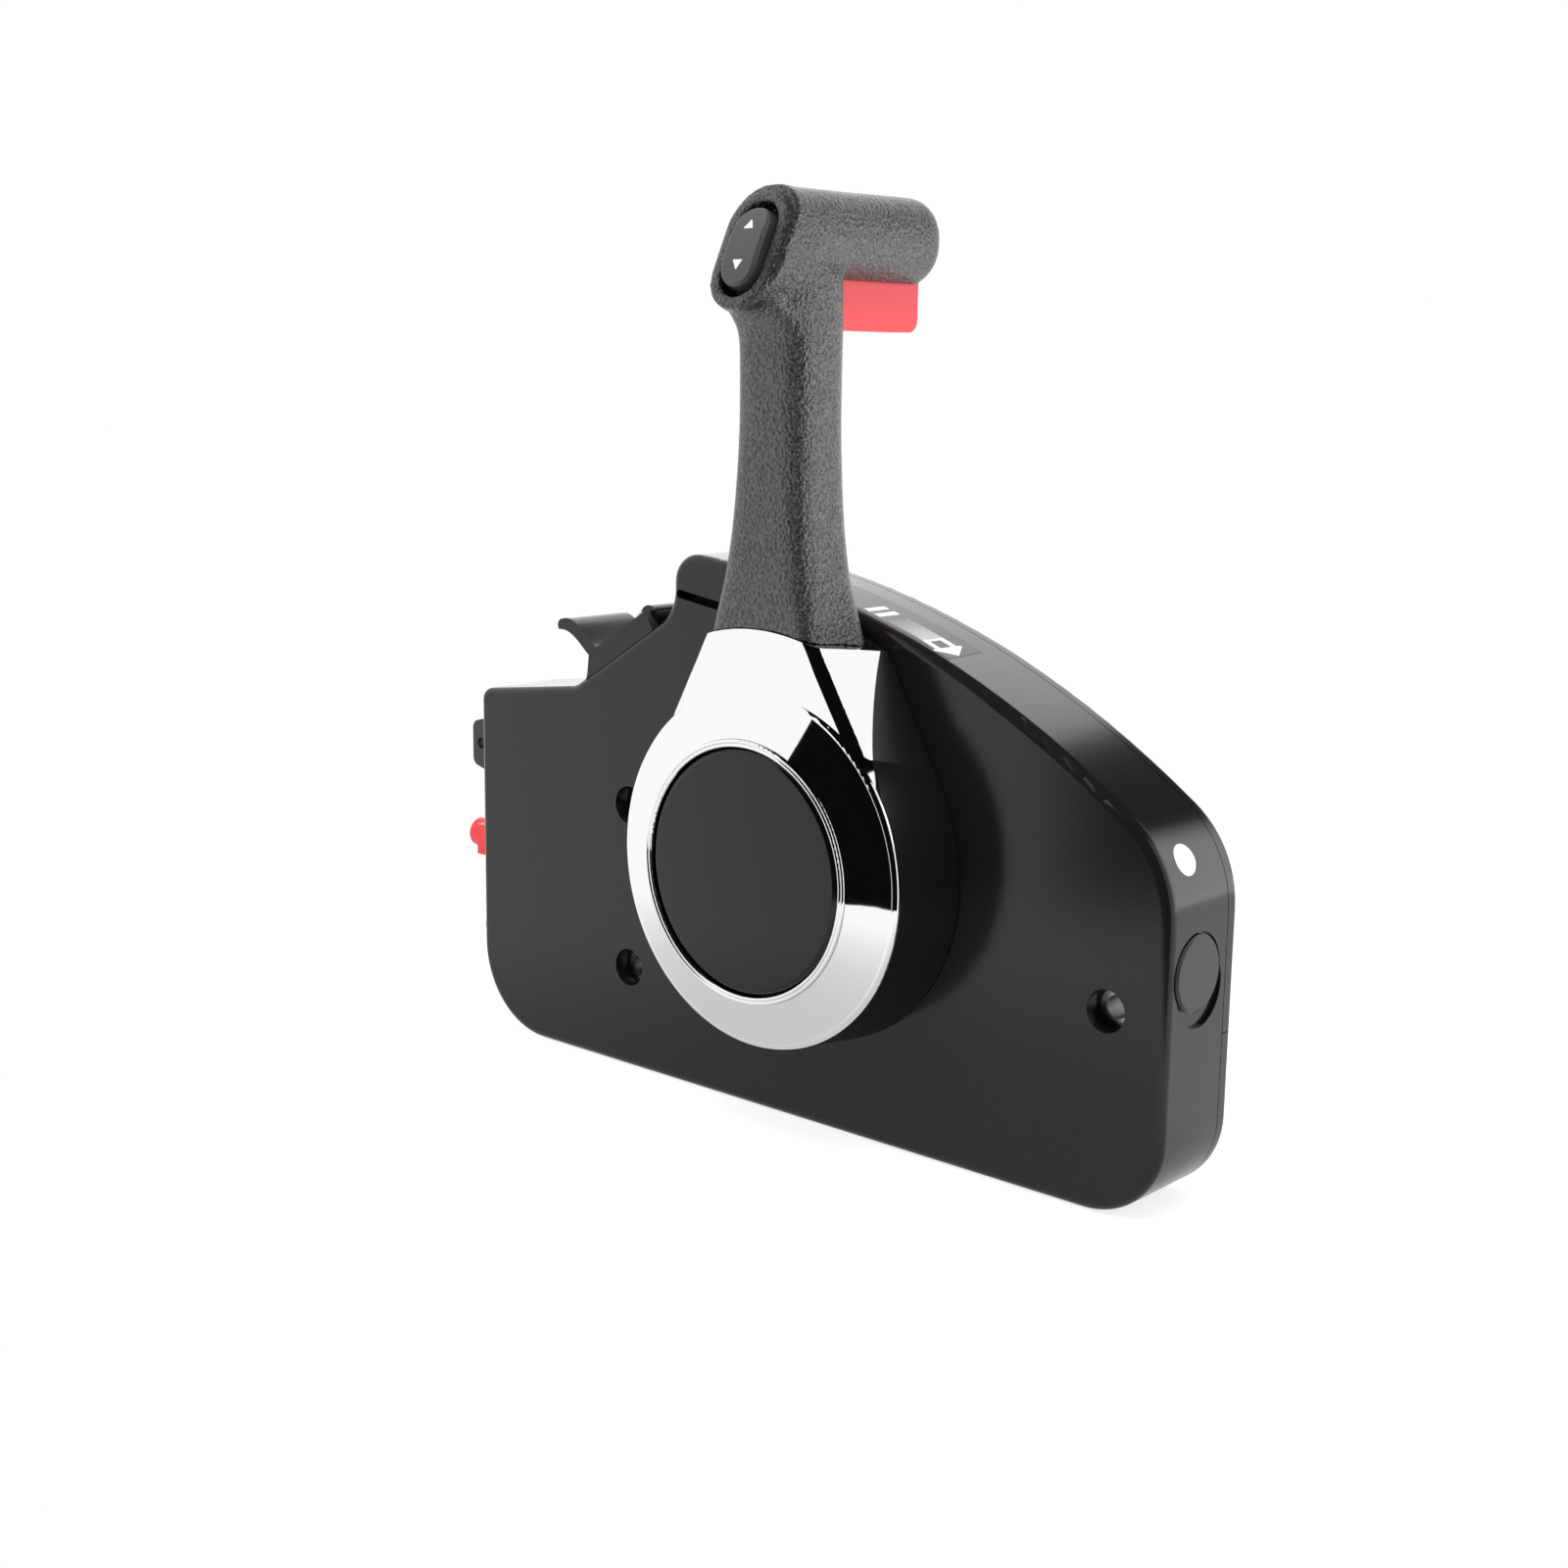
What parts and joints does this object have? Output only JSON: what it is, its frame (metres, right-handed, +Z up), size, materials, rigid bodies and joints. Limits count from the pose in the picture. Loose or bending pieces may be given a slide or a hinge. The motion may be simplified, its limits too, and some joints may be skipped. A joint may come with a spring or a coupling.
{
  "type": "boat throttle control lever",
  "caption": "Side-mount outboard remote control: moulded case, single swinging shift and throttle lever with lock trigger and trim rocker, fast idle paddle, key and stop switches.",
  "frame": {"origin": "lever shaft axis where it meets the mounting plane behind the rear covers", "axes": "+X forward along the case towards the rounded end, +Y into the side wall that the box is bolted to, +Z up along the lever in neutral"},
  "size_m": [0.3023, 0.0809, 0.2809],
  "materials": {
    "case_plastic": "satin black moulded plastic",
    "hub_plastic": "gloss black moulded plastic",
    "cap_plastic": "gloss black",
    "grip_plastic": "fine grained black",
    "chrome_plate": "polished chrome",
    "zinc_steel": "zinc plated",
    "gear_steel": "machined, greased",
    "shaft_steel": "ground",
    "bush_metal": "machined",
    "arm_casting": "as cast",
    "red_plastic": "gloss red",
    "rocker_plastic": "gloss black",
    "switch_plastic": "moulded black",
    "paddle_plastic": "satin black",
    "plug_plastic": "satin black",
    "grommet_rubber": "moulded rubber",
    "spring_steel": "spring steel",
    "key_metal": "black key head and plated blade"
  },
  "bodies": {
    "case": {"front_housing": "case_plastic", "rear_cover_upper": "case_plastic", "rear_cover_lower": "case_plastic", "cover_screws": "zinc_steel", "left_mount_sleeves": "zinc_steel", "right_mount_sleeve": "zinc_steel", "front_bush": "bush_metal", "rear_bush": "bush_metal", "shift_stud": "zinc_steel", "throttle_stud": "zinc_steel", "detent_spring": "spring_steel", "detent_roller": "gear_steel", "neutral_stop_plate": "gear_steel", "warning_buzzer": "switch_plastic", "neutral_switch": "switch_plastic", "key_switch_body": "switch_plastic", "key_switch_nut": "zinc_steel", "stop_switch_body": "switch_plastic", "stop_switch_nut": "zinc_steel", "cable_grommet": "grommet_rubber", "paddle_pin": "zinc_steel"},
    "lever": {"main_shaft": "shaft_steel", "lever_hub": "hub_plastic", "lever_core": "arm_casting", "chrome_cover": "chrome_plate", "cap_bead": "chrome_plate", "hub_cap": "cap_plastic", "hub_bolt": "zinc_steel", "hub_washer": "zinc_steel", "handle_grip": "grip_plastic", "lock_spring": "spring_steel", "trim_switch_body": "switch_plastic", "drive_gear": "gear_steel", "throttle_cam": "gear_steel", "detent_disc": "gear_steel"},
    "trigger": {"lock_trigger": "red_plastic", "lock_rod": "shaft_steel"},
    "rocker": {"trim_rocker": "rocker_plastic"},
    "shift": {"shift_sector": "gear_steel", "shift_cable_pin": "zinc_steel"},
    "throttle": {"throttle_arm": "gear_steel", "throttle_roller": "gear_steel", "throttle_cable_pin": "zinc_steel"},
    "fast_idle": {"fast_idle_paddle": "paddle_plastic"},
    "key": {"ignition_key": "key_metal"},
    "stop": {"stop_button": "red_plastic"},
    "lanyard_clip": {"stop_clip": "red_plastic"},
    "adjuster": {"friction_screw": "zinc_steel"},
    "shoe": {"friction_shoe": "bush_metal"},
    "plug": {"friction_plug": "plug_plastic"}
  },
  "joints": [
    {"name": "lever_swing", "type": "hinge", "parent": "case", "child": "lever", "pos_m": [0, -0.035, 0], "axis": [0, 1, 0], "range_deg": [-60, 85]},
    {"name": "shift_turn", "type": "hinge", "parent": "case", "child": "shift", "pos_m": [-0.05074, -0.0245, -0.01847], "axis": [0, 1, 0], "range_deg": [-43, 31]},
    {"name": "throttle_turn", "type": "hinge", "parent": "case", "child": "throttle", "pos_m": [0.03093, -0.0144, -0.0418], "axis": [0, 1, 0], "range_deg": [-19, 27]},
    {"name": "trigger_pull", "type": "slide", "parent": "lever", "child": "trigger", "axis": [0, 0, 1], "range_m": [0, 0.006], "stiffness_N_per_m": 400, "springref_m": -0.005, "deforming": ["lock_spring"]},
    {"name": "trim_rock", "type": "hinge", "parent": "lever", "child": "rocker", "pos_m": [0, -0.06203, 0.17609], "axis": [1, 0, 0], "range_deg": [-6, 6], "stiffness_Nm_per_rad": 0.2},
    {"name": "fast_idle_lift", "type": "hinge", "parent": "case", "child": "fast_idle", "pos_m": [-0.07419, -0.0176, 0.0661], "axis": [0, 1, 0], "range_deg": [0, 50]},
    {"name": "key_turn", "type": "hinge", "parent": "case", "child": "key", "pos_m": [-0.15, -0.018, 0.0118], "axis": [1, 0, 0], "range_deg": [0, 80]},
    {"name": "stop_press", "type": "slide", "parent": "case", "child": "stop", "axis": [1, 0, 0], "range_m": [0, 0.0025], "stiffness_N_per_m": 300, "springref_m": -0.003},
    {"name": "clip_pull", "type": "slide", "parent": "case", "child": "lanyard_clip", "axis": [0, -1, 0], "range_m": [0, 0.018]},
    {"name": "friction_turn", "type": "hinge", "parent": "case", "child": "adjuster", "pos_m": [0.088, -0.0205, -0.0146], "axis": [1, 0, 0], "range_deg": [0, 270]},
    {"name": "shoe_press", "type": "slide", "parent": "case", "child": "shoe", "axis": [-1, 0, 0], "range_m": [0, 0.00075]},
    {"name": "plug_pull", "type": "slide", "parent": "case", "child": "plug", "axis": [1, 0, 0], "range_m": [0, 0.012]}
  ],
  "couplings": [
    {"joint": "shift_turn", "follows": "lever_swing", "ratio": -0.5},
    {"joint": "throttle_turn", "follows": "lever_swing", "ratio": 0.3},
    {"joint": "friction_turn", "follows": "shoe_press", "rad_per_m": 6283}
  ]
}
